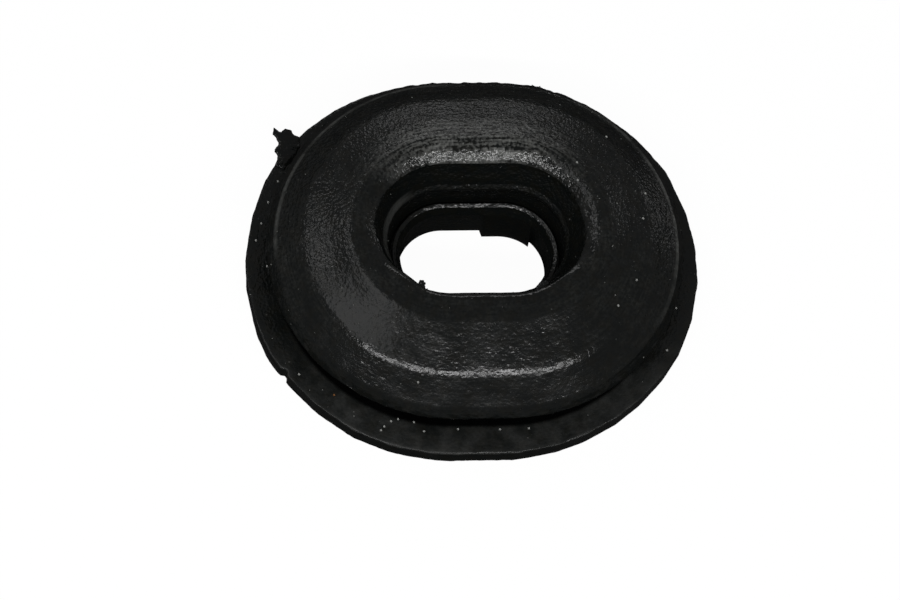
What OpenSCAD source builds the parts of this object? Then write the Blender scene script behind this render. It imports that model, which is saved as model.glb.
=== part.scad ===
// Oval rubber grommet, moulded in one piece.
// A thin wide bottom flange and a thick domed top flange grip a panel in the groove between
// them. An oblong slot runs through the middle: wide at its mouth, then narrowed by a collar.
// Every contour is an oval: two half rounds joined by a short straight run along X.
// The origin is the centre of the bottom face, with +Z up.

/* [Oval] */
// Straight run between the two half round ends of the flanges and the core
straight = 3.3; // [1:0.1:12]
// How much longer the straight run of the slot's mouth is
mouth_extra = 0.8; // [0:0.1:1.4]
// How much longer the straight run of the slot's throat is
throat_extra = 0.3; // [0:0.1:0.8]

/* [Bottom flange] */
// Width across the bottom flange, before its rim is trimmed
flange_w = 26.3; // [25.2:0.1:32]
// Thickness of the bottom flange
flange_t = 1.3; // [1:0.1:3]
// Radius on the rim's edges
flange_edge_r = 0.2; // [0.05:0.05:0.3]

/* [Panel groove] */
// Height of the groove, which the panel's edge fills
groove_h = 2.75; // [1.2:0.05:5]
// Width across the core between the two flanges
core_w = 19.8; // [17:0.1:21]
// Radius in the groove's corners
groove_r = 0.35; // [0.1:0.05:0.5]

/* [Top flange] */
// Width across the top flange's rim
top_w = 23.6; // [22.6:0.1:24.6]
// Thickness of the top flange at its crown
top_t = 3.55; // [3.3:0.05:5]
// Height of the rounded rim, from the groove up to its crease
rim_h = 0.65; // [0.3:0.05:1]
// How far the rounded rim leans in
rim_lean = 0.5; // [0.2:0.05:0.8]
// Height of the sloping shoulder's upper edge above the groove
shoulder_h = 2.1; // [1.6:0.05:2.4]
// How far the sloping shoulder leans in
shoulder_lean = 1.7; // [1.2:0.05:2.2]
// Reach of the rounding between shoulder and crown, each way
shoulder_round = 0.5; // [0.2:0.05:0.6]
// Share of the crown's width that keeps its slope before it rounds over
crown_share = 0.95; // [0.5:0.05:0.95]
// Distance from the slot's mouth out to the top of the crown
crown_back = 1.6; // [1.2:0.05:2]
// How much narrower the rounded lip is than that distance
lip_inset = 0.1; // [0.05:0.05:0.4]
// How far the mouth's edge lies under the top of the crown
lip_drop = 0.4; // [0.3:0.05:1]
// Share of the lip's width that keeps its slope below its rounded top
lip_share = 0.45; // [0.4:0.05:0.9]

/* [Slot] */
// Width across the slot's mouth
mouth_w = 9.4; // [9:0.05:10]
// Depth of the mouth's leaning wall, down to the step
mouth_d = 1.75; // [1.3:0.05:2]
// Width of the small step under the mouth's wall
step_w = 0.23; // [0.1:0.01:0.4]
// Drop of that step
step_drop = 0.25; // [0.1:0.05:0.6]
// Width across the slot's throat
throat_w = 6; // [5.2:0.05:6.4]
// Height of the collar that stands round the throat
collar_h = 3.3; // [2.8:0.05:3.6]
// How far the collar's inner face leans back at its top
collar_lean = 0.35; // [0.1:0.01:0.4]
// Height of that leaning face
collar_lean_h = 0.7; // [0.4:0.05:1.2]
// Radius of the collar's top edge
collar_edge_r = 0.09; // [0.05:0.01:0.16]
// Width of the narrow gap behind the collar
gap_w = 0.17; // [0.1:0.01:0.4]
// Depth of that gap
gap_d = 0.75; // [0.3:0.05:1]

/* [Trim and flash] */
// Depth of the deepest flat cut on the rim
trim_d = 0.26; // [0:0.02:0.4]
// Depth of the flat cut at each end, which sets the length over all
end_trim = 0.15; // [0:0.05:0.3]
// Direction of the nick in the rim, in degrees
nick_dir = 214; // [205:1:220]
// Depth of the nick
nick_d = 0.35; // [0.1:0.05:0.6]
// Length of the nick along the rim
nick_l = 0.7; // [0.3:0.05:1]
// Direction of the torn tag of flash, in degrees
tag_dir = 139; // [125:1:146]
// Reach of the tag out from the rim
tag_reach = 1.65; // [0.6:0.05:2]
// Length of the tag's foot along the rim
tag_l = 2.9; // [2:0.1:3.4]
// Thickness of the tag
tag_t = 0.7; // [0.3:0.05:1]
// Direction of the small nub of flash, in degrees
nub_dir = 72; // [60:1:75]
// Reach of the nub out from the rim
nub_reach = 0.12; // [0.05:0.01:0.15]
// Length of the nub along the rim
nub_l = 1.3; // [0.5:0.05:2]
// How far the flash in the throat stands out from its wall
flash_out = 0.45; // [0.1:0.05:0.6]
// Length of that flash along the wall
flash_l = 3.1; // [1:0.1:3.4]
// Place of the middle of that flash along X
flash_x = 2.3; // [-2:0.1:2.4]

/* [Hidden] */
$fn = 96;
flange_r = flange_w / 2;
core_r = core_w / 2;
top_r = top_w / 2;
mouth_r = mouth_w / 2;
throat_r = throat_w / 2;
half_run = straight / 2;
mouth_run = straight + mouth_extra;
throat_run = straight + throat_extra;
groove_top = flange_t + groove_h;
crown_z = groove_top + top_t;
shoulder_z = groove_top + shoulder_h;
mouth_z = crown_z - lip_drop;
step_z = mouth_z - mouth_d;
collar_r = throat_r + collar_lean;
collar_land = 0.03;
collar_out = collar_r + 2 * collar_edge_r + collar_land;
gap_r = collar_out + gap_w;
gap_z = collar_h - gap_d;
// Flat cuts round the rim: direction in degrees, and share of the deepest cut
trims = [
    [10, 0.6], [20, 0.55], [56, 0.7], [66, 0.7], [84, 0.4], [96, 0.5], [106, 0.35], [160, 0.45], [170, 0.65],
    [190, 0.65], [222, 0.6], [232, 0.55], [246, 0.25], [259, 0.25], [281, 0.65], [290, 0.8], [299, 1], [308, 1],
    [317, 0.95], [326, 0.7], [337, 0.45], [348, 0.55]
];
// Overlap that joins a lump of flash, or the collar, to the rubber behind it
sink = 0.4;
// Spare length of a cutting shape past what it cuts
spare = 1;
// How far the lip's curve starts over the crown, so that it cuts the crown at a clean angle
lip_over = 0.02;

// Points along a round arc about a centre, from one angle to another
function arc(centre, r, from, to, steps = 6) =
    [for (i = [0:steps]) centre + r * [cos(from + (to - from) * i / steps), sin(from + (to - from) * i / steps)]];

// Points along a smooth bend from one point to another that leans towards a third
function bend(start, pull, end, steps = 10) =
    [for (i = [0:steps]) let (t = i / steps) (1 - t) * (1 - t) * start + 2 * t * (1 - t) * pull + t * t * end];

// Point a given distance from one point on the way to another
function toward(from, to, reach) = from + (to - from) * reach / norm(to - from);

// Half of the solid body's section, as distance from the oval's middle line and height
shoulder_in = [top_r - rim_lean - shoulder_lean, shoulder_z];
crown_top = [mouth_r + crown_back, crown_z];
crown_pull = [shoulder_in[0] - (shoulder_in[0] - crown_top[0]) * crown_share, crown_z];
rim_crease = [top_r - rim_lean, groove_top + rim_h];
shoulder_low = toward(shoulder_in, rim_crease, shoulder_round);
shoulder_high = toward(shoulder_in, crown_pull, shoulder_round);
body_points = concat(
    [[0, 0]],
    arc([flange_r - flange_edge_r, flange_edge_r], flange_edge_r, -90, 0),
    arc([flange_r - flange_edge_r, flange_t - flange_edge_r], flange_edge_r, 0, 90),
    arc([core_r + groove_r, flange_t + groove_r], groove_r, 270, 180),
    arc([core_r + groove_r, groove_top - groove_r], groove_r, 180, 90),
    bend([top_r, groove_top], [top_r, groove_top + rim_h * 0.7], rim_crease, 6),
    bend(shoulder_low, shoulder_in, shoulder_high, 4),
    bend(shoulder_high, crown_pull, crown_top, 14),
    [[0, crown_z]]
);

// Half section of the hollow under the mouth: lip, leaning wall, step and the shaft round the collar
lip_w = crown_back - lip_inset;
lip_start = [mouth_r + lip_w, crown_z + lip_over];
lip_pull = [mouth_r + lip_w * lip_share, crown_z + lip_over];
mouth_points = concat(
    [[0, crown_z + spare], [lip_start[0], crown_z + spare]],
    bend(lip_start, lip_pull, [mouth_r, mouth_z], 8),
    [[gap_r + step_w, step_z], [gap_r, step_z - step_drop], [gap_r, gap_z], [0, gap_z]]
);

// Half section of the collar, solid to the middle, and of the throat that opens it
collar_points = concat(
    [[0, gap_z - sink], [collar_out, gap_z - sink]],
    arc([collar_out - collar_edge_r, collar_h - collar_edge_r], collar_edge_r, 0, 90, 3),
    [[0, collar_h]]
);
throat_points = concat(
    [[0, -spare], [throat_r, -spare], [throat_r, collar_h - collar_lean_h]],
    arc([collar_r + collar_edge_r, collar_h - collar_edge_r], collar_edge_r, 180, 90, 3),
    [[collar_r + collar_edge_r, collar_h + spare], [0, collar_h + spare]]
);

// Carries a shape out to the half round end that faces a direction
module at_end(direction) {
    translate([cos(direction) < 0 ? -half_run : half_run, 0, 0]) rotate(direction) children();
}

// Sweeps a section round an oval: a half turn at each end and a straight run on each side
module sweep_oval(run) {
    for (side = [0, 180]) {
        rotate(side) translate([run / 2, 0, 0]) rotate(-90) rotate_extrude(angle = 180) children();
        rotate(side) translate([-run / 2, 0, 0]) rotate([90, 0, 90]) linear_extrude(height = run) children();
    }
}

// Block that slices the bottom flange's rim flat in one direction
module rim_slice(direction, depth) {
    at_end(direction) translate([flange_r - depth, -flange_r / 2, -spare]) cube([spare * 2, flange_r, flange_t + spare * 1.5]);
}

// Small bite out of the rim, where the trimming blade slipped
module rim_nick() {
    at_end(nick_dir) translate([flange_r - nick_d, 0, -spare])
        linear_extrude(height = flange_t + spare * 1.5)
            polygon([[0, 0], [spare, -nick_l / 2], [spare, nick_l / 2]]);
}

// Torn tag of flash left on the rim, ragged at its end
module flash_tag() {
    at_end(tag_dir) translate([flange_r, 0, flange_t - tag_t])
        linear_extrude(height = tag_t)
            polygon([
                [-sink, -0.33 * tag_l],
                [0.25 * tag_reach, -0.3 * tag_l],
                [0.55 * tag_reach, -0.34 * tag_l],
                [0.8 * tag_reach, -0.26 * tag_l],
                [0.72 * tag_reach, -0.12 * tag_l],
                [tag_reach, 0],
                [0.75 * tag_reach, 0.09 * tag_l],
                [0.35 * tag_reach, 0.1 * tag_l],
                [0.3 * tag_reach, 0.26 * tag_l],
                [0.12 * tag_reach, 0.45 * tag_l],
                [-sink, 0.67 * tag_l]
            ]);
}

// Low nub of flash on the rim
module flash_nub() {
    at_end(nub_dir) translate([flange_r, 0, 0])
        linear_extrude(height = flange_t)
            polygon([[-sink, -nub_l / 2], [nub_reach, -nub_l / 4], [nub_reach, nub_l / 4], [-sink, nub_l / 2]]);
}

// Thick flash on one wall of the throat, from the bottom face up to the collar's leaning face
module throat_flash() {
    back = throat_r + collar_lean / 2;
    front = throat_r - flash_out;
    top = collar_h - collar_lean_h;
    intersection() {
        translate([flash_x - flash_l / 2, 0, 0]) rotate([90, 0, 90]) linear_extrude(height = flash_l)
            polygon([[front, 0], [back, 0], [back, top + collar_lean_h / 2], [front, top]]);
        sweep_oval(throat_run) polygon([[0, 0], [collar_r, 0], [collar_r, collar_h], [0, collar_h]]);
    }
}

// Solid body with its two flanges, opened by the hollow under the mouth
module body() {
    difference() {
        union() {
            sweep_oval(straight) polygon(body_points);
            flash_nub();
        }
        sweep_oval(mouth_run) polygon(mouth_points);
        for (trim = trims) rim_slice(trim[0], trim[1] * trim_d);
        for (end = [0, 180]) rim_slice(end, end_trim);
        rim_nick();
    }
}

module grommet() {
    color([0.06, 0.065, 0.068]) {
        difference() {
            union() {
                body();
                sweep_oval(throat_run) polygon(collar_points);
            }
            sweep_oval(throat_run) polygon(throat_points);
        }
        flash_tag();
        throat_flash();
    }
}

grommet();
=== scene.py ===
import math
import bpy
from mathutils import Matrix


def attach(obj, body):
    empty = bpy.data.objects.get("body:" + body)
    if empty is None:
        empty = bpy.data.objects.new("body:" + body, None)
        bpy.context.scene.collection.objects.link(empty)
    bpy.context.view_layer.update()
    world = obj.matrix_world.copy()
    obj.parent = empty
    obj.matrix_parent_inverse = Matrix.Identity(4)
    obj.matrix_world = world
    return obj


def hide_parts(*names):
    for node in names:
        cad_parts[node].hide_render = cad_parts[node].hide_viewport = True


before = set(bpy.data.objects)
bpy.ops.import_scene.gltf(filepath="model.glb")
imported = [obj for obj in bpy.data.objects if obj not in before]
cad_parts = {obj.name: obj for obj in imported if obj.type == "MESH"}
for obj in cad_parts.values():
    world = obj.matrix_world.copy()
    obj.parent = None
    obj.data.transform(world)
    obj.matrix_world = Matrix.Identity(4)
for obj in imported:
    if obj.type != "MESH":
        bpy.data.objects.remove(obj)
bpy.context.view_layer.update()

from types import SimpleNamespace

import bpy
from mathutils import Matrix, Vector

# ---------------------------------------------------------------------------------------------
# The grommet: one piece of black rubber, pressed in a hot two-part mould round a core pin that
# leaves the stepped slot. The squeezed-out rim of the wide flange was trimmed by hand with a
# blade, in short flat cuts. Every contour is the same oval, two half rounds and a short straight.
# ---------------------------------------------------------------------------------------------
MM = 0.001
# The oval's straight run, and how much longer it is in the slot
straight = 3.3 * MM
mouth_extra, throat_extra = 0.8 * MM, 0.3 * MM
# Wide flange, and the groove that the panel's edge fills
flange_r, flange_t, flange_edge = 13.15 * MM, 1.3 * MM, 0.2 * MM
groove_h, core_r, groove_corner = 2.75 * MM, 9.9 * MM, 0.35 * MM
groove_top = flange_t + groove_h
# Top flange: rounded rim, crease, sloping shoulder, and a conical crown that rounds over
top_r, crown_z = 11.8 * MM, groove_top + 3.55 * MM
rim_h, rim_lean = 0.65 * MM, 0.5 * MM
crease_z = groove_top + rim_h
shoulder_h, shoulder_lean, shoulder_round = 2.1 * MM, 1.7 * MM, 0.35 * MM
crown_slope, crown_round = math.radians(23.5), 1.6 * MM
# Slot from the top down: sloping lip, mouth's wall, step, gap, collar and throat
lip_slope, lip_z, lip_drop = math.radians(34), groove_top + 2.98 * MM, 0.4 * MM
mouth_r, mouth_d, mouth_edge = 4.7 * MM, 1.75 * MM, 0.5 * MM
step_z = crown_z - lip_drop - mouth_d
step_w, step_drop = 0.23 * MM, 0.25 * MM
gap_w, gap_d = 0.2 * MM, 0.75 * MM
collar_h, collar_lean, collar_lean_h = 3.3 * MM, 0.35 * MM, 0.7 * MM
collar_edge, collar_dip = 0.09 * MM, 0.16 * MM
throat_r = 3.0 * MM


def line(start, end, steps):
    """Points along a straight stretch, without its last one."""
    return [start.lerp(end, i / steps) for i in range(steps)]


def bend(start, pull, end, steps):
    """Points along a smooth bend that leans towards pull, without its last one."""
    shares = [i / steps for i in range(steps)]
    return [start.lerp(pull, share).lerp(pull.lerp(end, share), share) for share in shares]


def corner(before, tip, after, radius, steps):
    """Points round a corner of that radius between two straight stretches."""
    one, two = (before - tip).normalized(), (after - tip).normalized()
    half = one.angle(two) / 2
    reach = radius / math.tan(half)
    centre = tip + (one + two).normalized() * (radius / math.sin(half))
    first, last = tip + one * reach - centre, tip + two * reach - centre
    turn = first.angle(last)
    points = []
    for i in range(steps + 1):
        arm = first * math.sin(turn * (1 - i / steps)) + last * math.sin(turn * i / steps)
        points.append(centre + arm / math.sin(turn))
    return points


def grommet_section():
    """Half of the grommet's section as (distance from the oval's middle line, height)."""
    V = Vector
    inner_foot, outer_foot = V((throat_r, 0)), V((flange_r, 0))
    outer_edge = V((flange_r, flange_t))
    groove_low, groove_high = V((core_r, flange_t)), V((core_r, groove_top))
    rim_low = V((top_r, groove_top))
    rim_pull = V((top_r - rim_lean * 0.16, groove_top + rim_h * 0.25))
    rim_crease = V((top_r - rim_lean, crease_z))
    shoulder = V((top_r - rim_lean - shoulder_lean, groove_top + shoulder_h))
    # The conical crown and the lip that slopes down into the mouth meet over a rounded ridge
    rise = lip_z - shoulder.y - mouth_r * math.tan(lip_slope) - shoulder.x * math.tan(crown_slope)
    ridge_r = -rise / (math.tan(lip_slope) + math.tan(crown_slope))
    ridge = V((ridge_r, lip_z + (ridge_r - mouth_r) * math.tan(lip_slope)))
    shoulder_low = shoulder + (rim_crease - shoulder).normalized() * shoulder_round
    shoulder_high = shoulder + (ridge - shoulder).normalized() * shoulder_round
    mouth = V((mouth_r, lip_z))
    collar_out = V((throat_r + collar_lean + 2 * collar_edge, collar_h))
    gap_low = V((collar_out.x + gap_w, collar_h - gap_d))
    gap_foot = V((collar_out.x, gap_low.y))
    step = V((gap_low.x + step_w, step_z))
    gap_high = step + V((-step_w, -step_drop))
    collar_in = V((throat_r + collar_lean - collar_edge, collar_h - collar_dip))
    throat_top = V((throat_r, collar_h - collar_lean_h))

    points = []
    # Underside and the wide flange
    points += corner(throat_top, inner_foot, outer_foot, 0.08 * MM, 3)
    points += line(inner_foot.lerp(outer_foot, 0.03), inner_foot.lerp(outer_foot, 0.97), 16)
    points += corner(inner_foot, outer_foot, outer_edge, flange_edge, 4)
    points += line(outer_foot.lerp(outer_edge, 0.3), outer_foot.lerp(outer_edge, 0.7), 3)
    points += corner(outer_foot, outer_edge, groove_low, flange_edge, 4)
    points += line(outer_edge.lerp(groove_low, 0.12), outer_edge.lerp(groove_low, 0.85), 14)
    # Groove
    points += corner(outer_edge, groove_low, groove_high, groove_corner, 4)
    points += line(groove_low.lerp(groove_high, 0.25), groove_low.lerp(groove_high, 0.75), 3)
    points += corner(groove_low, groove_high, rim_low, groove_corner, 4)
    points += line(groove_high.lerp(rim_low, 0.3), groove_high.lerp(rim_low, 0.95), 5)
    # Rim, shoulder and crown
    points += bend(rim_low, rim_pull, rim_crease, 8)
    points += line(rim_crease, shoulder_low, 12)
    points += bend(shoulder_low, shoulder, shoulder_high, 9)
    points += line(shoulder_high, ridge, 30)[:22]
    points += corner(shoulder, ridge, mouth, crown_round, 14)
    # Lip, mouth's wall, step and gap
    points += line(ridge.lerp(mouth, 0.72), mouth, 8)[:3]
    points += corner(ridge, mouth, step, mouth_edge, 8)
    points += line(mouth.lerp(step, 0.2), step.lerp(mouth, 0.08), 12)
    points += corner(mouth, step, gap_high, 0.1 * MM, 3)
    points += corner(step, gap_high, gap_low, 0.06 * MM, 3)
    points += line(gap_high.lerp(gap_low, 0.1), gap_low, 8)
    points += corner(gap_high, gap_low, gap_foot, 0.05 * MM, 3)
    # Collar and throat
    points += corner(gap_low, gap_foot, collar_out, 0.05 * MM, 3)
    points += line(gap_foot.lerp(collar_out, 0.15), gap_foot.lerp(collar_out, 0.8), 3)
    points += corner(gap_foot, collar_out, collar_in, 0.05 * MM, 4)
    points += corner(collar_out, collar_in, throat_top, 0.08 * MM, 4)
    points += line(collar_in.lerp(throat_top, 0.2), throat_top.lerp(collar_in, 0.05), 5)
    points += corner(collar_in, throat_top, inner_foot, 0.06 * MM, 2)
    points += line(throat_top.lerp(inner_foot, 0.05), throat_top.lerp(inner_foot, 0.95), 12)
    return points


def curve_object(name, points):
    """A closed flat curve through those points, ready to be swept or filled."""
    data = bpy.data.curves.new(name, "CURVE")
    data.dimensions = "3D"
    spline = data.splines.new("POLY")
    spline.points.add(len(points) - 1)
    for knot, point in zip(spline.points, points):
        knot.co = (point[0], point[1], 0, 1)
    spline.use_cyclic_u = True
    piece = bpy.data.objects.new(name, data)
    bpy.context.collection.objects.link(piece)
    return piece


class Tree:
    """A node tree being built, for a shape or, as a shader group, for a finish."""

    def __init__(self, name, inputs, outputs, kind="GeometryNodeTree"):
        """Each socket is given as its kind, or as the number or colour that it starts from."""
        self.tree = bpy.data.node_groups.new(name, kind)
        for way, sockets in (("INPUT", inputs), ("OUTPUT", outputs)):
            for label, start in sockets.items():
                kinds = {str: start, float: "Float", int: "Int", tuple: "Color"}
                socket_type = "NodeSocket" + kinds[type(start)]
                made = self.tree.interface.new_socket(label, in_out=way, socket_type=socket_type)
                if not isinstance(start, str):
                    made.default_value = start
        self.inputs = self.tree.nodes.new("NodeGroupInput").outputs
        self.outputs = self.tree.nodes.new("NodeGroupOutput").inputs

    def add(self, kind, out=0, set_to=(), **links):
        """Places a node and sets or links its inputs, each given by name, or as i0, i1 by place."""
        node = self.tree.nodes.new(kind)
        for key, value in dict(set_to).items():
            setattr(node, key, value)
        for key, value in links.items():
            by_place = key[0] == "i" and key[1:].isdigit()
            socket = node.inputs[int(key[1:]) if by_place else key.replace("_", " ")]
            if isinstance(value, bpy.types.NodeSocket):
                self.tree.links.new(value, socket)
            else:
                socket.default_value = value
        return node.outputs[out]

    def math(self, operation, a, b=0.0, c=0.0):
        return self.add("ShaderNodeMath", set_to={"operation": operation}, i0=a, i1=b, i2=c)

    def times(self, first, *others):
        for other in others:
            first = self.math("MULTIPLY", first, other)
        return first

    def plus(self, first, *others):
        for other in others:
            first = self.math("ADD", first, other)
        return first

    def off(self, value, target):
        """How far a value lies from a target, either way."""
        return self.math("ABSOLUTE", self.math("SUBTRACT", value, target))

    def ramp(self, value, start, stop, low=0.0, high=1.0, shape="LINEAR"):
        """Goes from low to high while the value goes from start to stop."""
        return self.add("ShaderNodeMapRange", set_to={"interpolation_type": shape}, Value=value,
                        From_Min=start, From_Max=stop, To_Min=low, To_Max=high)

    def ease(self, value, start, stop, low=0.0, high=1.0):
        """As ramp, with soft ends."""
        return self.ramp(value, start, stop, low, high, "SMOOTHSTEP")

    def vector(self, operation, a, b=(0, 0, 0), out=0, **more):
        return self.add("ShaderNodeVectorMath", out=out, set_to={"operation": operation}, i0=a, i1=b, **more)

    def scale(self, vector, factor):
        return self.vector("SCALE", vector, Scale=factor)

    def towards(self, vector, direction):
        return self.vector("DOT_PRODUCT", vector, direction, out=1)

    def combine(self, x=0.0, y=0.0, z=0.0):
        return self.add("ShaderNodeCombineXYZ", X=x, Y=y, Z=z)

    def split(self, vector):
        return self.add("ShaderNodeSeparateXYZ", i0=vector).node.outputs

    def noise(self, vector, size, detail, roughness, out=0):
        is_socket = isinstance(size, bpy.types.NodeSocket)
        place = self.scale(vector, self.math("DIVIDE", 1.0, size) if is_socket else 1 / size)
        return self.add("ShaderNodeTexNoise", out=out, Vector=place, Scale=1.0, Detail=detail,
                        Roughness=roughness)

    def mix(self, share, one, other):
        return self.add("ShaderNodeMix", out=2, set_to={"data_type": "RGBA"}, i0=share, i6=one, i7=other)

    def move(self, geometry, by):
        return self.add("GeometryNodeSetPosition", Geometry=geometry, Offset=by)

    def store(self, geometry, name, value):
        return self.add("GeometryNodeStoreNamedAttribute", set_to={"data_type": "FLOAT"},
                        Geometry=geometry, Name=name, Value=value)

    def join(self, *parts):
        joined = self.tree.nodes.new("GeometryNodeJoinGeometry")
        for part in parts:
            self.tree.links.new(part, joined.inputs[0])
        return joined.outputs[0]

    def give(self, **results):
        for label, socket in results.items():
            self.tree.links.new(socket, self.outputs[label.replace("_", " ")])

    def finish(self, geometry):
        """Realizes the shape, gives it its rubber and passes it out."""
        geometry = self.add("GeometryNodeRealizeInstances", Geometry=geometry)
        geometry = self.add("GeometryNodeSetMaterial", Geometry=geometry, Material=self.inputs["Rubber"])
        self.give(Geometry=geometry)
        return self.tree


def middle_line(t, x, y):
    """The X of the nearest point on the oval's middle line, and the way from there."""
    run = t.times(t.inputs["Straight"], 0.5)
    on_line = t.math("MAXIMUM", t.math("MINIMUM", x, run), t.times(run, -1.0))
    return on_line, t.combine(t.math("SUBTRACT", x, on_line), y)


def oval_place(t):
    """Where a vertex lies: X, Y, Z, its distance from the middle line, and the way outwards."""
    point = t.add("GeometryNodeInputPosition")
    x, y, z = t.split(point)
    spoke = middle_line(t, x, y)[1]
    radius, outward = t.vector("LENGTH", spoke, out=1), t.vector("NORMALIZE", spoke)
    return SimpleNamespace(point=point, x=x, y=y, z=z, radius=radius, outward=outward)


def seen_from_end(t):
    """How far out and along a vertex lies, seen from the half round end that faces a direction."""
    x, y, z = t.split(t.add("GeometryNodeInputPosition"))
    cosine, sine = t.math("COSINE", t.inputs["Direction"]), t.math("SINE", t.inputs["Direction"])
    from_end = t.math("SUBTRACT", x, t.times(t.math("SIGN", cosine), t.inputs["Straight"], 0.5))
    out = t.plus(t.times(from_end, cosine), t.times(y, sine))
    along = t.math("SUBTRACT", t.times(y, cosine), t.times(from_end, sine))
    return out, along, t.combine(cosine, sine)


def rim_cut_tree():
    """One flat cut of the trimming blade across the rim."""
    inputs = {"Geometry": "Geometry", "Straight": straight, "Direction": 0.0, "Reach": flange_r}
    t = Tree("Rim cut", inputs, {"Geometry": "Geometry"})
    out, _, outward = seen_from_end(t)
    beyond = t.math("MAXIMUM", t.math("SUBTRACT", out, t.inputs["Reach"]), 0.0)
    t.give(Geometry=t.move(t.inputs["Geometry"], t.scale(outward, t.times(beyond, -1.0))))
    return t.tree


def rim_bump_tree():
    """A short swelling of the rim, or a nick where the amount is negative."""
    inputs = {"Geometry": "Geometry", "Straight": straight, "Direction": 0.0, "Rim": flange_r,
              "Amount": 0.1 * MM, "Half width": 1.0 * MM}
    t = Tree("Rim bump", inputs, {"Geometry": "Geometry"})
    out, along, outward = seen_from_end(t)
    near = t.ease(t.math("ABSOLUTE", along), t.inputs["Half width"], 0.0)
    rim_start, rim_full = (t.math("SUBTRACT", t.inputs["Rim"], depth * MM) for depth in (0.9, 0.35))
    amount = t.times(near, t.ramp(out, rim_start, rim_full), t.inputs["Amount"])
    t.give(Geometry=t.move(t.inputs["Geometry"], t.scale(outward, amount)))
    return t.tree


# Flat cuts round the rim: direction in degrees, and depth in mm
rim_cuts = [
    (0, 0.15), (10, 0.16), (20, 0.14), (56, 0.18), (66, 0.18), (84, 0.1), (96, 0.13), (106, 0.09),
    (160, 0.12), (170, 0.17), (180, 0.15), (190, 0.17), (222, 0.16), (232, 0.14), (246, 0.07), (259, 0.07),
    (281, 0.17), (290, 0.21), (299, 0.26), (308, 0.26), (317, 0.25), (326, 0.18), (337, 0.12), (348, 0.14),
]
# Bumps and nicks left on the rim: direction in degrees, amount outwards and half width in mm
rim_bumps = [(214, -0.3, 0.4), (72, 0.14, 0.7), (207, 0.05, 1.2), (30, 0.04, 0.9)]


def swept_oval(t):
    """The section carried round the oval. The circle's first point lies at +X, so its halves part there."""
    ring = t.add("GeometryNodeCurvePrimitiveCircle", Resolution=720, Radius=t.inputs["Path radius"])
    x = t.split(t.add("GeometryNodeInputPosition"))[0]
    oval = t.move(ring, t.combine(x=t.times(t.math("SIGN", x), t.inputs["Straight"], 0.5)))
    path = t.add("GeometryNodeResampleCurve", Curve=oval, Count=t.inputs["Steps round"])
    return t.add("GeometryNodeCurveToMesh", Curve=path, Profile_Curve=t.inputs["Geometry"])


def longer_slot(t, at, body):
    """The slot's own straight run is longer: a little in the throat, more at the mouth."""
    run = t.times(t.inputs["Straight"], 0.5)
    share = t.math("MINIMUM", t.math("DIVIDE", t.math("ABSOLUTE", at.x), run), 1.0)
    near_slot = t.ease(at.radius, 8.4 * MM, 5.6 * MM)
    extra = t.ramp(at.z, 3.0 * MM, 4.6 * MM, t.inputs["Throat extra"], t.inputs["Mouth extra"])
    return t.move(body, t.combine(x=t.times(extra, 0.5, near_slot, share, t.math("SIGN", at.x))))


def trimmed_rim(t, body):
    """The blade's cuts round the rim, and what it left or nicked."""
    cut, bump = rim_cut_tree(), rim_bump_tree()
    for direction, depth in rim_cuts:
        reach = t.math("SUBTRACT", t.inputs["Rim radius"], depth * MM)
        body = t.add("GeometryNodeGroup", set_to={"node_tree": cut}, Geometry=body,
                     Straight=t.inputs["Straight"], Direction=math.radians(direction), Reach=reach)
    for direction, amount, half_width in rim_bumps:
        body = t.add("GeometryNodeGroup", set_to={"node_tree": bump}, Geometry=body,
                     Straight=t.inputs["Straight"], Direction=math.radians(direction),
                     Rim=t.inputs["Rim radius"], Amount=amount * MM, Half_width=half_width * MM)
    return body


def throat_flash(t, at, body):
    """Thick flash on the far wall of the throat, from the bottom up to the collar's leaning face."""
    along = t.times(t.ramp(at.x, 0.72 * MM, 0.8 * MM), t.ramp(at.x, 3.9 * MM, 3.82 * MM))
    far_wall = t.times(t.ramp(at.y, 0.6 * MM, 1.2 * MM), t.ramp(at.y, 4.2 * MM, 3.5 * MM))
    low = t.ramp(at.z, 3.1 * MM, 0.7 * MM)
    return t.move(body, t.combine(y=t.times(along, far_wall, low, t.inputs["Throat flash"], -1.0)))


def uneven_mouth(t, at, body):
    """The core pin stood a little askew, so the mouth's wall and lip differ from side to side."""
    # The wall runs further in, so the ledge under it is thin; only the left end keeps its width
    wall = t.times(t.ease(at.z, lip_z - 0.2 * MM, step_z + 0.1 * MM), t.ramp(at.z, 4.72 * MM, 4.82 * MM),
                   t.ramp(at.radius, 6.2 * MM, 5.2 * MM))
    leftness = t.towards(at.outward, (-1.0, 0.0, 0.0))
    amount = t.times(wall, t.ease(leftness, 0.95, 0.6), t.inputs["Ledge cut"], -1.0)
    body = t.move(body, t.scale(at.outward, amount))
    # The edge stands in at the front left
    leaning = t.towards(at.outward, (-0.86, -0.51, 0.0))
    swell = t.times(t.ease(leaning, 0.8, 0.99), t.ease(at.z, 5.4 * MM, 6.8 * MM),
                    t.ramp(at.radius, 6.2 * MM, 5.0 * MM))
    body = t.move(body, t.scale(at.outward, t.times(swell, t.inputs["Front left swelling"], -1.0)))
    # On the near side the lip hardly dips, and the edge stands higher and further in
    nearness = t.towards(at.outward, (0.0, -1.0, 0.0))
    raised = t.times(t.ease(nearness, 0.3, 0.8), t.ease(at.radius, 5.9 * MM, 4.9 * MM),
                     t.ease(at.z, 5.5 * MM, 6.9 * MM))
    inward = t.scale(at.outward, t.times(t.inputs["Near lip shift"], -1.0))
    shift = t.vector("ADD", inward, t.combine(z=t.inputs["Near lip rise"]))
    return t.move(body, t.scale(shift, raised))


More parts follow.
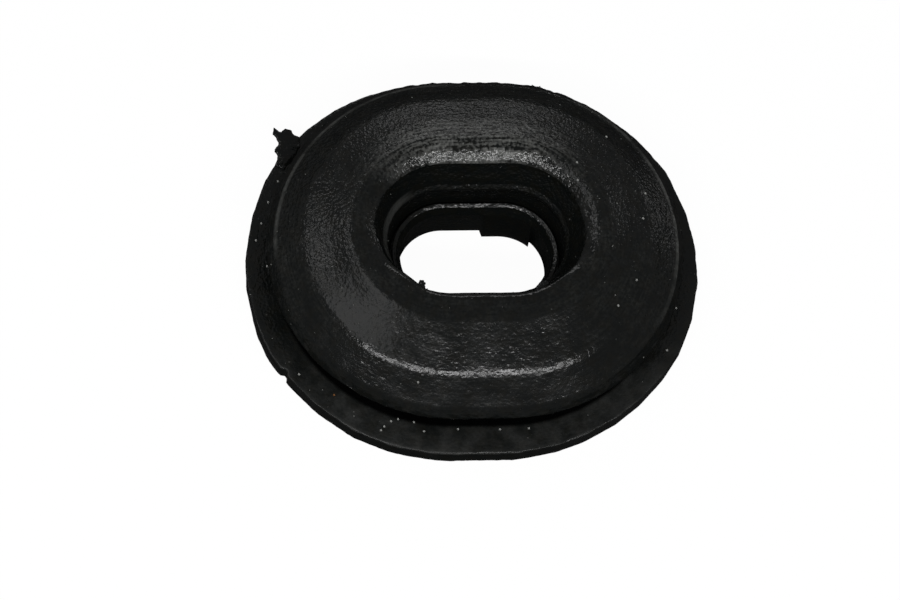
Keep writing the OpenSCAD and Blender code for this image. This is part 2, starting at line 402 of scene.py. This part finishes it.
def ragged_edges(t, at, body):
    """The trimmed rim and the parting edge under the upper flange are ragged."""
    rough = t.math("SUBTRACT", t.noise(at.point, 0.6 * MM, 4.0, 0.65), 0.56)
    at_rim = t.ramp(at.radius, 12.3 * MM, 12.8 * MM)
    off_floor = t.ramp(at.z, 0.0, 0.15 * MM, 0.5)
    amount = t.times(rough, at_rim, off_floor, t.inputs["Rim raggedness"])
    body = t.move(body, t.scale(at.outward, amount))
    parting = t.ramp(t.off(at.z, groove_top), 0.4 * MM, 0.05 * MM)
    out_there = t.ramp(at.radius, 11.2 * MM, 11.7 * MM)
    return t.move(body, t.combine(z=t.times(parting, out_there, rough, t.inputs["Parting raggedness"])))


def parting_ridge(t, at, body):
    """A fine ridge stands proud along the crease above the rim, most on the right."""
    on_crease = t.ramp(t.off(at.z, crease_z), 0.14 * MM, 0.0)
    on_outside = t.math("GREATER_THAN", at.radius, 10.9 * MM)
    rightness = t.ease(t.towards(at.outward, (0.94, 0.34, 0.0)), 0.1, 0.75, 0.12)
    proud = t.times(on_crease, on_outside, rightness, t.inputs["Parting ridge"])
    return t.move(body, t.scale(t.add("GeometryNodeInputNormal"), proud))


def uneven_skin(t, at, body):
    """Slight unevenness of the moulded skin, broad and fine, but not on the flat underside."""
    above = t.ramp(at.z, 0.0, 0.3 * MM)
    for size, share in (("Unevenness size", 1.0), ("Ripple size", 0.35), ("Pitting size", 0.5)):
        noise = t.noise(at.point, t.inputs[size], 3.0, 0.6)
        lift = t.times(t.math("SUBTRACT", noise, 0.5), t.inputs["Unevenness"], share, above)
        body = t.move(body, t.scale(t.add("GeometryNodeInputNormal"), lift))
    return body


def moulded_body_tree():
    """Sweeps the section round the oval, trims its rim and gives the rubber its small faults."""
    t = Tree("Moulded oval body", {
        "Geometry": "Geometry", "Straight": straight, "Path radius": 8.0 * MM, "Steps round": 460,
        "Mouth extra": mouth_extra, "Throat extra": throat_extra, "Rim radius": flange_r,
        "Throat flash": 0.45 * MM, "Ledge cut": 0.11 * MM, "Front left swelling": 0.3 * MM,
        "Near lip rise": 0.4 * MM, "Near lip shift": 0.12 * MM, "Rim raggedness": 0.16 * MM,
        "Parting raggedness": 0.75 * MM, "Parting ridge": 0.1 * MM, "Unevenness": 0.06 * MM,
        "Unevenness size": 2.5 * MM, "Ripple size": 0.9 * MM, "Pitting size": 0.42 * MM, "Rubber": "Material",
    }, {"Geometry": "Geometry"})
    at = oval_place(t)
    body = longer_slot(t, at, swept_oval(t))
    body = throat_flash(t, at, trimmed_rim(t, body))
    body = ragged_edges(t, at, uneven_mouth(t, at, body))
    body = uneven_skin(t, at, parting_ridge(t, at, body))
    return t.finish(t.add("GeometryNodeSetShadeSmooth", Geometry=body))


def oval_place_group():
    """Shader group: a point's distance from the oval's middle line, its height, and its place round it."""
    outputs = {"Radius": "Float", "Height": "Float", "Around": "Vector", "Point": "Vector"}
    t = Tree("Oval place", {"Straight": straight}, outputs, "ShaderNodeTree")
    point = t.add("ShaderNodeTexCoord", out=3)
    x, y, z = t.split(point)
    on_line, spoke = middle_line(t, x, y)
    # The middle line is added back, so the ring does not stand still along the straight stretch
    ring = t.scale(t.vector("NORMALIZE", spoke), 9 * MM)
    around = t.vector("ADD", ring, t.combine(x=on_line))
    t.give(Radius=t.vector("LENGTH", spoke, out=1), Height=z, Around=around, Point=point)
    return t.tree


def moulded_skin_group():
    """Shader group: fine grain, streaks that run round the oval, rubbed patches and pale dust, with painted
    shade under the overhang and painted light and highlights on the flange, slot, crown, ledge and crease.
    """
    # The near-black rubber colour is painted shade, and the pale colour also paints light, sheen and
    # highlights
    t = Tree("Moulded skin", {
        "Radius": "Float", "Height": "Float", "Around": "Vector", "Point": "Vector",
        "Rubber": (0.0048, 0.0060, 0.0057, 1.0), "Warm rubber": (0.0064, 0.0068, 0.0054, 1.0),
        "Painted shade rubber": (0.0015, 0.0016, 0.0016, 1.0), "Dust and painted light": (0.62, 0.63, 0.6, 1.0),
        "Rust": (0.3, 0.13, 0.04, 1.0), "Grain size": 0.21 * MM, "Grain depth": 0.055 * MM,
        "Streak width": 0.16 * MM, "Streak length": 2.6 * MM, "Streak depth": 0.012 * MM,
        "Light and dust film": 0.022, "Bloom": 0.024, "Far lip sheen": 0.3, "Crease highlight": 0.24, "Smooth": 0.17, "Rubbed": 0.07,
    }, {"Color": "Color", "Roughness": "Float", "Bump height": "Float"}, "ShaderNodeTree")
    point, around = t.inputs["Point"], t.inputs["Around"]
    radius, height = t.inputs["Radius"], t.inputs["Height"]
    x, y, z = t.split(point)
    round_y = t.split(around)[1]

    # Grain, streaks in lanes that run round the oval, and patches rubbed dull
    grain = t.noise(point, t.inputs["Grain size"], 1.0, 0.6)
    across = t.math("DIVIDE", t.math("SUBTRACT", radius, height), t.inputs["Streak width"])
    round_it = t.scale(around, t.math("DIVIDE", 1.0, t.inputs["Streak length"]))
    lanes = t.vector("ADD", round_it, t.combine(z=across))
    streaks = t.add("ShaderNodeTexNoise", Vector=lanes, Scale=1.0, Detail=1.0, Roughness=0.55)
    patches = t.noise(point, 1.5 * MM, 3.0, 0.62)

    # Single pale specks: about one cell in seven holds one
    cells = t.add("ShaderNodeTexVoronoi", Vector=t.scale(point, 1 / (0.55 * MM)), Scale=1.0).node.outputs
    chance, size, tone = t.add("ShaderNodeSeparateColor", i0=cells["Color"]).node.outputs
    reach = t.math("MULTIPLY_ADD", size, 0.07, 0.03)
    inside = t.ramp(cells["Distance"], reach, t.times(reach, 0.6))
    speck = t.times(inside, t.math("GREATER_THAN", chance, 0.86), t.math("MULTIPLY_ADD", tone, 0.12, 0.01))

    # Painted light with patchy dust: a pale film on top of the wide flange outside the overhang's shadow,
    # strongest at the front
    out_there = t.ease(radius, 11.1 * MM, 11.4 * MM)
    on_flange = t.math("LESS_THAN", t.off(height, flange_t), 0.14 * MM)
    front = t.ease(round_y, -2.0 * MM, -8.0 * MM, 0.15, 1.2)
    uneven = t.math("MAXIMUM", t.math("MULTIPLY_ADD", patches, 3.2, -0.65), 0.1)
    lit_and_dusty_film = t.times(out_there, on_flange, front, uneven, t.math("MULTIPLY_ADD", grain, 0.5, 0.72))
    # Painted light: a faint pale tone on the slot's walls
    slot_painted_light = t.ramp(radius, 4.9 * MM, 4.5 * MM, 0.0, 0.1)
    lit_and_dusty_film = t.times(t.math("MAXIMUM", lit_and_dusty_film, slot_painted_light), t.inputs["Light and dust film"])

    # Painted shade: under the overhang the rubber's colour turns near black, and the bloom is left out there
    under_top = t.times(t.math("LESS_THAN", height, groove_top - 0.1 * MM),
                        t.math("GREATER_THAN", radius, 9.0 * MM))
    painted_shade_share = t.times(t.math("SUBTRACT", 1.0, out_there), under_top)
    unshaded_share = t.math("SUBTRACT", 1.0, painted_shade_share)
    hue = t.noise(t.vector("ADD", point, (0.05, 0.02, 0.01)), 0.7 * MM, 1.0, 0.7)
    tinted = t.mix(t.ease(hue, 0.44, 0.6), t.inputs["Rubber"], t.inputs["Warm rubber"])
    rubber_with_painted_shade = t.mix(painted_shade_share, tinted, t.inputs["Painted shade rubber"])

    # A faint grey bloom in the grain and streaks of the top, turned down on the near side as painted shade
    texture = t.plus(t.times(grain, 0.65), t.times(streaks, 0.35))
    bloom_and_painted_light = t.ramp(texture, 0.38, 0.72, 0.0, t.inputs["Bloom"])
    bloom_and_painted_light = t.times(bloom_and_painted_light, t.math("MULTIPLY_ADD", patches, 4.5, -1.35), t.ramp(height, 3.9 * MM, 4.3 * MM),
                    t.ramp(radius, 4.6 * MM, 5.3 * MM))
    bloom_and_painted_light = t.times(t.math("MAXIMUM", bloom_and_painted_light, 0.0), t.ease(y, -3 * MM, -8 * MM, 1.0, 0.45))

    # Painted highlight: a grey fibrous sheen on the far side of the crown, most near the lip
    far_lip_sheen = t.times(t.ease(t.off(x, -0.4 * MM), 8.5 * MM, 2.0 * MM),
                    t.ease(t.off(y, 5.9 * MM), 3.6 * MM, 0.2 * MM),
                    t.math("GREATER_THAN", height, lip_z - 0.1 * MM))
    fibres = t.ramp(t.plus(t.times(grain, 0.5), t.times(streaks, 0.5)), 0.42, 0.66)
    bloom_and_painted_light = t.plus(bloom_and_painted_light, t.times(far_lip_sheen, fibres, t.inputs["Far lip sheen"]))

    # Painted highlights: a pale line along the ledge at the slot's left end, and a pale line along the crease
    # above the rim on the right and upper left
    left_ledge_highlight = t.times(t.ramp(t.off(height, step_z), 0.3 * MM, 0.15 * MM), t.ramp(x, -3.9 * MM, -5.0 * MM),
                    t.math("LESS_THAN", radius, 4.6 * MM), 0.07)
    crease = t.ramp(t.off(height, crease_z), 0.15 * MM, 0.05 * MM)
    rightness = t.times(t.ease(x, 5.0 * MM, 10.0 * MM), t.ramp(y, -6 * MM, -1 * MM))
    upper_left = t.ease(t.math("SUBTRACT", y, x), 11.5 * MM, 14.5 * MM, 0.0, 0.6)
    crease_highlight = t.times(t.math("MAXIMUM", rightness, upper_left), crease, t.inputs["Crease highlight"],
                   t.ramp(patches, 0.35, 0.6, 0.25))
    bloom_and_painted_light = t.plus(bloom_and_painted_light, t.math("MAXIMUM", left_ledge_highlight, crease_highlight))

    # Crumbs say by their own values how pale or rusty they are
    crumb_pale, crumb_rusty = (
        t.add("ShaderNodeAttribute", out=2, set_to={"attribute_name": name}) for name in ("pale", "rusty")
    )
    # Dust, bloom and the painted light, sheen and highlights share one pale colour
    pale = t.math("MAXIMUM", t.plus(lit_and_dusty_film, t.times(bloom_and_painted_light, unshaded_share)), speck)
    dust_and_painted_light = t.mix(t.math("MAXIMUM", pale, crumb_pale), rubber_with_painted_shade, t.inputs["Dust and painted light"])

    # Gloss: duller where rubbed or dusty, polished by handling on the lip and on the collar's edge
    lip = t.times(t.ease(radius, 6.3 * MM, 5.4 * MM), t.math("GREATER_THAN", height, lip_z - 0.3 * MM))
    collar = t.times(t.math("LESS_THAN", t.off(height, 3.25 * MM), 0.2 * MM),
                     t.math("LESS_THAN", radius, 3.75 * MM))
    roughness = t.plus(
        t.inputs["Smooth"], t.times(t.ease(patches, 0.4, 0.66), t.inputs["Rubbed"]),
        t.times(t.math("SUBTRACT", streaks, 0.5), 0.12), t.times(lit_and_dusty_film, 8.0),
        t.ease(y, 2 * MM, -7 * MM, 0.0, 0.008), t.times(lip, -0.08), t.times(collar, -0.07),
    )

    # Grain and streaks are deepest on the far side; a flat plate left the underside smooth
    relief = t.plus(t.times(streaks, t.inputs["Streak depth"]), t.times(grain, t.inputs["Grain depth"]))
    relief = t.times(relief, t.ease(round_y, -7 * MM, 2 * MM, 0.33),
                     t.ramp(height, 0.02 * MM, 0.3 * MM, 0.12))
    t.give(Color=t.mix(crumb_rusty, dust_and_painted_light, t.inputs["Rust"]), Roughness=roughness, Bump_height=relief)
    return t.tree


def black_rubber():
    material = bpy.data.materials.new("black_rubber")
    material.use_nodes = True
    nodes, links = material.node_tree.nodes, material.node_tree.links
    shader = nodes["Principled BSDF"]
    place, skin = nodes.new("ShaderNodeGroup"), nodes.new("ShaderNodeGroup")
    place.node_tree, skin.node_tree = oval_place_group(), moulded_skin_group()
    for name in ("Radius", "Height", "Around", "Point"):
        links.new(place.outputs[name], skin.inputs[name])
    relief = nodes.new("ShaderNodeBump")
    relief.inputs["Strength"].default_value = 1.0
    relief.inputs["Distance"].default_value = 1.0
    links.new(skin.outputs["Bump height"], relief.inputs["Height"])
    links.new(skin.outputs["Color"], shader.inputs["Base Color"])
    links.new(skin.outputs["Roughness"], shader.inputs["Roughness"])
    links.new(relief.outputs["Normal"], shader.inputs["Normal"])
    return material


def made_by_nodes(name, source, tree, values):
    """Runs a geometry tree on a source object and returns the result as a plain mesh object."""
    modifier = source.modifiers.new(name, "NODES")
    modifier.node_group = tree
    for item in tree.interface.items_tree:
        if item.in_out == "INPUT" and item.name in values:
            modifier[item.identifier] = values[item.name]
    bpy.context.view_layer.update()
    seen = source.evaluated_get(bpy.context.evaluated_depsgraph_get())
    mesh = bpy.data.meshes.new_from_object(seen)
    mesh.name = name
    source.modifiers.remove(modifier)
    bpy.data.objects.remove(source)
    piece = bpy.data.objects.new(name, mesh)
    bpy.context.collection.objects.link(piece)
    return piece


rubber = black_rubber()
path_r = 8 * MM
section = [(point.x - path_r, -point.y) for point in reversed(grommet_section())]
body = made_by_nodes("moulded_grommet", curve_object("grommet_section", section), moulded_body_tree(), {
    "Straight": straight, "Path radius": path_r, "Steps round": 460, "Mouth extra": mouth_extra,
    "Throat extra": throat_extra, "Rim radius": flange_r, "Rubber": rubber,
})
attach(body, "root")
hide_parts("grommet")

# ---------------------------------------------------------------------------------------------
# Scraps of flash still on the grommet: thin torn rubber that was squeezed between the mould halves.
# The largest is a tag at the rim; a nib and a ragged tab are left at the slot's mouth, and a few
# flakes stand on the wide flange. Each is a thin sheet with a torn outline.
# ---------------------------------------------------------------------------------------------
crumple, crumple_size = 0.16 * MM, 0.35 * MM


def torn_scrap_tree():
    """Fills an outline, gives it a thickness and tears and crumples it with noise."""
    t = Tree("Torn scrap", {
        "Geometry": "Geometry", "Height": flange_t, "Thickness": 0.2 * MM, "Lift": 0.0,
        "Crumple": crumple, "Crumple size": crumple_size, "Rubber": "Material",
    }, {"Geometry": "Geometry"})
    outline = t.add("GeometryNodeResampleCurve", Curve=t.inputs["Geometry"], Count=72)
    sheet = t.add("GeometryNodeFillCurve", Curve=outline)
    raised = t.add("GeometryNodeExtrudeMesh", Mesh=sheet, Offset_Scale=t.inputs["Thickness"],
                   Individual=False)
    under = t.add("GeometryNodeFlipFaces", Mesh=sheet)
    solid = t.add("GeometryNodeMergeByDistance", Geometry=t.join(under, raised), Distance=0.002 * MM)
    solid = t.add("GeometryNodeSubdivisionSurface", Mesh=solid, Level=2)
    place = t.add("GeometryNodeInputPosition")
    noise = t.noise(place, t.inputs["Crumple size"], 3.0, 0.6, out=1)
    solid = t.move(solid, t.scale(t.vector("SUBTRACT", noise, (0.5, 0.5, 0.5)), t.inputs["Crumple"]))
    # The free side may curl up: the lift grows away from the grommet's middle
    away = t.vector("LENGTH", place, out=1)
    curl = t.ramp(away, 13.0 * MM, 16.0 * MM, 0.0, t.inputs["Lift"])
    solid = t.move(solid, t.combine(z=t.plus(t.inputs["Height"], curl)))
    return t.finish(t.add("GeometryNodeSetShadeSmooth", Geometry=solid))


# Each scrap: outline in mm seen from above, height of its underside, thickness, lift of its free side
scraps = {
    "rim_tag": ([(-12.0, 6.9), (-12.62, 7.17), (-12.5, 7.55), (-12.43, 7.9), (-12.62, 8.2), (-12.33, 8.72),
                 (-12.45, 9.09), (-12.7, 9.4), (-12.58, 9.86), (-12.17, 9.55), (-11.84, 9.77), (-11.45, 9.68),
                 (-11.27, 9.4), (-10.9, 9.2), (-10.9, 8.5), (-11.3, 7.6)], 1.12, 0.24, 0.3),
    "rim_nub": ([(4.3, 12.5), (4.58, 12.93), (5.11, 12.86), (5.88, 12.45), (5.6, 12.0), (4.6, 12.1)],
                0.95, 0.4, 0.0),
    "mouth_nib": ([(-4.3, -4.1), (-4.19, -3.81), (-4.0, -3.57), (-3.78, -3.59), (-3.66, -3.81),
                  (-3.72, -4.15), (-4.0, -4.25)], 7.08, 0.22, 0.0),
    "mouth_tab": ([(2.6, -4.89), (2.84, -4.52), (3.17, -4.36), (3.38, -4.04), (3.58, -3.82), (3.84, -3.66),
                   (4.04, -3.7), (4.18, -3.9), (3.98, -4.24), (3.4, -4.84)], 7.0, 0.26, 0.0),
    "side_flake": ([(13.25, 1.7), (13.62, 1.55), (13.7, 0.9), (13.52, 0.3), (13.34, 0.55), (13.42, 1.1)],
                   1.2, 0.3, 0.0),
    "lower_flake": ([(13.1, -1.2), (13.5, -1.35), (13.35, -1.9), (13.0, -2.1), (12.85, -1.7)],
                    1.22, 0.26, 0.0),
    "upper_flake": ([(12.75, 4.9), (13.15, 4.95), (13.3, 4.5), (13.05, 4.2), (12.8, 4.45)], 1.22, 0.26, 0.0),
}
scrap_tree = torn_scrap_tree()
for name, (outline, height, thickness, lift) in scraps.items():
    outline = [(x * MM, y * MM) for x, y in outline]
    scrap = made_by_nodes(name, curve_object(name, outline), scrap_tree, {
        "Height": height * MM, "Thickness": thickness * MM, "Lift": lift * MM, "Crumple": crumple,
        "Crumple size": crumple_size, "Rubber": rubber,
    })
    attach(scrap, "root")
    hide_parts("grommet")

# ---------------------------------------------------------------------------------------------
# Crumbs: specks of dust and tiny grains of trimmed rubber that cling to the grommet. Each falls
# from above onto the body and stays where it lands.
# ---------------------------------------------------------------------------------------------
crumb_count, crumb_radius = 700, 0.075 * MM
# Where single crumbs lie that catch the eye, in mm from above: on the wide flange, and on the crown.
# The first is a fleck of rust.
flange_crumbs = [
    (-9.32, -8.94), (-5.75, -10.8), (-5.3, -10.67), (-4.29, -10.89), (-6.42, -11.41), (-6.2, -11.15),
    (-3.67, -11.52), (-1.49, -11.41), (1.2, -11.46), (3.06, -11.42), (12.31, -6.15), (-11.51, -7.48),
    (-13.98, 1.91), (-13.32, 0.07), (-12.17, 7.52), (-11.88, 6.66), (-12.42, 6.09), (13.6, 0.2), (13.7, 2.6),
    (-13.6, 3.1), (-13.1, 4.6), (13.1, -3.2),
]
crown_crumbs = [
    (-4.3, -9.89), (8.64, 6.9), (6.41, 4.37), (6.4, 3.17), (10.6, 0.9), (9.9, -3.4), (10.9, 2.8), (8.6, -5.2),
]


def crumbs_tree():
    """Drops given points and scattered ones onto the body and puts a small grain on each."""
    t = Tree("Crumbs", {
        "Geometry": "Geometry", "Body": "Object", "Count": crumb_count, "Grain radius": crumb_radius,
        "Seed": 4, "Rubber": "Material",
    }, {"Geometry": "Geometry"})
    # The given ones are large and pale
    given = t.add("GeometryNodeMeshToPoints", Mesh=t.inputs["Geometry"])
    given = t.store(given, "pale", 0.8)
    given = t.store(given, "grain", 1.7)
    given = t.store(given, "rusty", t.math("LESS_THAN", t.add("GeometryNodeInputIndex"), 0.5))
    # The scattered ones are small and mostly black
    width, depth = 31, 28
    field = t.add("GeometryNodeMeshGrid", Size_X=width * MM, Size_Y=depth * MM, Vertices_X=2, Vertices_Y=2)
    field = t.add("GeometryNodeTransform", Geometry=field, Translation=(0, 0, 20 * MM))
    density = t.math("DIVIDE", t.inputs["Count"], width * depth * MM * MM)
    field = t.add("GeometryNodeDistributePointsOnFaces", Mesh=field, Density=density, Seed=t.inputs["Seed"])
    tone = t.add("FunctionNodeRandomValue", out=1, set_to={"data_type": "FLOAT"}, i2=0.0, i3=1.0,
                 Seed=t.inputs["Seed"])
    field = t.store(field, "pale", t.times(t.math("POWER", tone, 6.0), 0.6))
    size = t.add("FunctionNodeRandomValue", out=1, set_to={"data_type": "FLOAT"}, i2=0.35, i3=1.0, Seed=7)
    field = t.store(field, "grain", size)
    # Each falls straight down; what lands on the table or meets nothing is dropped
    falling = t.join(field, given)
    place = t.add("GeometryNodeInputPosition")
    target = t.add("GeometryNodeObjectInfo", out=4, Object=t.inputs["Body"])
    ray = t.add("GeometryNodeRaycast", Target_Geometry=target, Source_Position=place,
                Ray_Direction=(0, 0, -1), Ray_Length=30 * MM).node.outputs
    landed = t.add("GeometryNodeSetPosition", Geometry=falling, Selection=ray["Is Hit"],
                   Position=ray["Hit Position"])
    height = t.split(place)[2]
    missed = t.math("MAXIMUM", t.math("LESS_THAN", height, 0.2 * MM), t.math("GREATER_THAN", height, 9 * MM))
    landed = t.add("GeometryNodeDeleteGeometry", Geometry=landed, Selection=missed)
    # A flattened grain on each
    grain = t.add("GeometryNodeMeshIcoSphere", Radius=t.inputs["Grain radius"], Subdivisions=1)
    turn = t.add("FunctionNodeRandomValue", set_to={"data_type": "FLOAT_VECTOR"}, i0=(0, 0, 0),
                 i1=(6.3, 6.3, 6.3), Seed=3)
    size = t.add("GeometryNodeInputNamedAttribute", set_to={"data_type": "FLOAT"}, Name="grain")
    shape = t.combine(size, t.times(size, 0.7), t.times(size, 0.6))
    grains = t.add("GeometryNodeInstanceOnPoints", Points=landed, Instance=grain, Rotation=turn, Scale=shape)
    return t.finish(grains)


# Those on the wide flange start under the top flange's rim, so that they don't land on it
places = [(x * MM, y * MM, groove_top - 0.5 * MM) for x, y in flange_crumbs]
places += [(x * MM, y * MM, crown_z + 1 * MM) for x, y in crown_crumbs]
seeds_mesh = bpy.data.meshes.new("crumb_places")
seeds_mesh.from_pydata(places, [], [])
seeds = bpy.data.objects.new("crumb_places", seeds_mesh)
bpy.context.collection.objects.link(seeds)
crumbs = made_by_nodes("clinging_crumbs", seeds, crumbs_tree(), {
    "Body": body, "Count": crumb_count, "Grain radius": crumb_radius, "Seed": 4, "Rubber": rubber,
})
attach(crumbs, "root")
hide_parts("grommet")

# ---------------------------------------------------------------------------------------------
# Stage: a white tabletop that lies a hair below the grommet, so that their faces don't fight.
# It looks white to the camera and stays dim otherwise, so that it throws little light upwards.
# ---------------------------------------------------------------------------------------------
floor_half, floor_z = 0.6, -0.02 * MM
floor_mesh = bpy.data.meshes.new("tabletop")
floor_corners = [(x * floor_half, y * floor_half, floor_z) for x, y in ((-1, -1), (1, -1), (1, 1), (-1, 1))]
floor_mesh.from_pydata(floor_corners, [], [(0, 1, 2, 3)])
floor = bpy.data.objects.new("tabletop", floor_mesh)
bpy.context.collection.objects.link(floor)
white = bpy.data.materials.new("white_tabletop")
white.use_nodes = True
nodes, links = white.node_tree.nodes, white.node_tree.links
dull = nodes["Principled BSDF"]
dull.inputs["Base Color"].default_value = (0.06, 0.06, 0.06, 1)
dull.inputs["Roughness"].default_value = 1.0
dull.inputs["Specular IOR Level"].default_value = 0.0
glow = nodes.new("ShaderNodeEmission")
glow.inputs["Strength"].default_value = 0.97
both = nodes.new("ShaderNodeAddShader")
seen = nodes.new("ShaderNodeMixShader")
rays = nodes.new("ShaderNodeLightPath")
links.new(dull.outputs[0], both.inputs[0])
links.new(glow.outputs[0], both.inputs[1])
links.new(rays.outputs["Is Camera Ray"], seen.inputs["Fac"])
links.new(dull.outputs[0], seen.inputs[1])
links.new(both.outputs[0], seen.inputs[2])
links.new(seen.outputs[0], nodes["Material Output"].inputs["Surface"])
floor_mesh.materials.append(white)

# ---------------------------------------------------------------------------------------------
# Light: a long flash lamp over the camera's shoulder, weak panels round the grommet, and faint
# light from all round.
# ---------------------------------------------------------------------------------------------
world = bpy.data.worlds.new("soft_room")
bpy.context.scene.world = world
world.use_nodes = True
world.node_tree.nodes["Background"].inputs["Color"].default_value = (1, 1, 1, 1)
world.node_tree.nodes["Background"].inputs["Strength"].default_value = 0.125
eye = Vector((0, 0, 4 * MM))


def look(azimuth, elevation, roll=0.0):
    """Right, up and back directions of something that looks at the grommet from there."""
    a, e, r = math.radians(azimuth), math.radians(elevation), math.radians(roll)
    back = Vector((math.sin(a) * math.cos(e), -math.cos(a) * math.cos(e), math.sin(e)))
    right = Vector((math.cos(a), math.sin(a), 0))
    up = back.cross(right)
    return (math.cos(r) * right + math.sin(r) * up, math.cos(r) * up - math.sin(r) * right, back)


def placed(thing, right, up, back, position):
    thing.matrix_world = Matrix.Translation(position) @ Matrix((right, up, back)).transposed().to_4x4()


# Each lamp: azimuth, elevation, distance, width, height and power
lamps = {
    "flash_lamp": (-4, 50, 0.32, 0.44, 0.02, 0.5),
    "far_panel": (176, 24, 0.6, 0.34, 0.1, 0.17),
    "side_panel": (-78, 59, 0.5, 0.24, 0.2, 0.13),
    "edge_panel": (122, 5, 0.5, 0.12, 0.06, 0.03),
    "left_panel": (238, 45, 0.6, 0.16, 0.16, 0.12),
}
for name, (azimuth, elevation, distance, width, height, power) in lamps.items():
    data = bpy.data.lights.new(name, "AREA")
    data.shape = "RECTANGLE"
    data.size, data.size_y = width, height
    data.energy = power
    lamp = bpy.data.objects.new(name, data)
    bpy.context.collection.objects.link(lamp)
    right, up, back = look(azimuth, elevation)
    placed(lamp, right, up, back, eye + back * distance)

# ---------------------------------------------------------------------------------------------
# Camera: it stands 30 cm away and is turned a little, as if held by hand. The grommet sits a
# little right of and above the middle of the frame.
# ---------------------------------------------------------------------------------------------
frame_width, focal_pixels, stand_off = 900, 4667, 0.3
off_right, off_up = 26.03, 51.76
camera_data = bpy.data.cameras.new("camera")
camera_data.sensor_width = 36
camera_data.lens = focal_pixels / frame_width * camera_data.sensor_width
camera_data.clip_start, camera_data.clip_end = 0.01, 10
camera = bpy.data.objects.new("camera", camera_data)
bpy.context.collection.objects.link(camera)
right, up, back = look(-13.79, 65.68, 11.99)
stand = eye + back * stand_off
aim = eye - right * (off_right / focal_pixels * stand_off) - up * (off_up / focal_pixels * stand_off)
back = (stand - aim).normalized()
right = (right - back * right.dot(back)).normalized()
up = back.cross(right)
placed(camera, right, up, back, stand)
bpy.context.scene.camera = camera
bpy.context.scene.view_settings.view_transform = "Standard"
